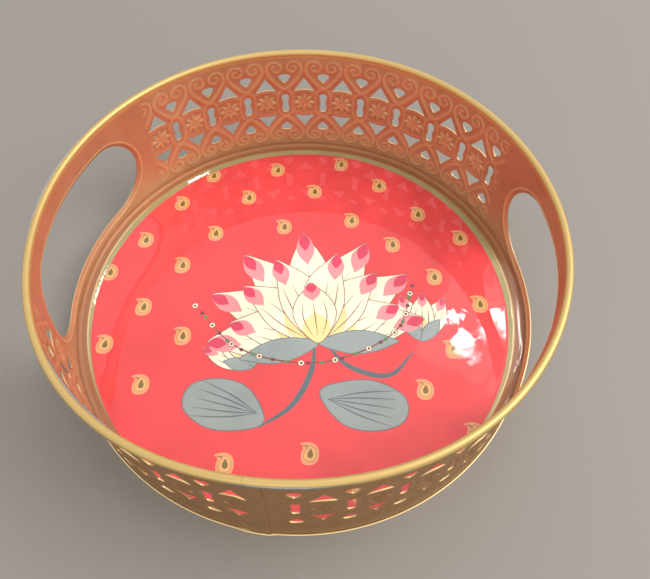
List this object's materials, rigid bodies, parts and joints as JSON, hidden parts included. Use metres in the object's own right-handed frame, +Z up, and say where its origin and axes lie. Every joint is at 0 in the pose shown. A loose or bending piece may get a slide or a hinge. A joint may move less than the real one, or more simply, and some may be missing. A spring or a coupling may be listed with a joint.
{
  "type": "round serving tray",
  "caption": "Round serving tray: pierced and pressed sheet metal wall with a wired rim and hand slots, printed floor under a poured clear coat.",
  "frame": {"origin": "middle of the underside, in the plane that the tray stands on", "axes": "+Z up through the open top; the hand slots face -X and +X, the wall strip's lap faces -Y and the back of the tray faces +Y"},
  "size_m": [0.2538, 0.254, 0.081],
  "materials": {
    "gold_paint_wall": "satin gold paint",
    "bare_wire": "drawn bare steel wire",
    "gold_paint_base": "satin gold paint",
    "painted_board": "fibreboard painted olive gold",
    "printed_sheet": "coral red print with small leaf motifs",
    "clear_resin": "poured clear coat, glossy and slightly wavy"
  },
  "bodies": {
    "root": {"wall_band": "gold_paint_wall", "rim_wire": "bare_wire", "base_sheet": "gold_paint_base", "floor_board": "painted_board", "print_sheet": "printed_sheet", "resin_coat": "clear_resin"}
  },
  "joints": []
}
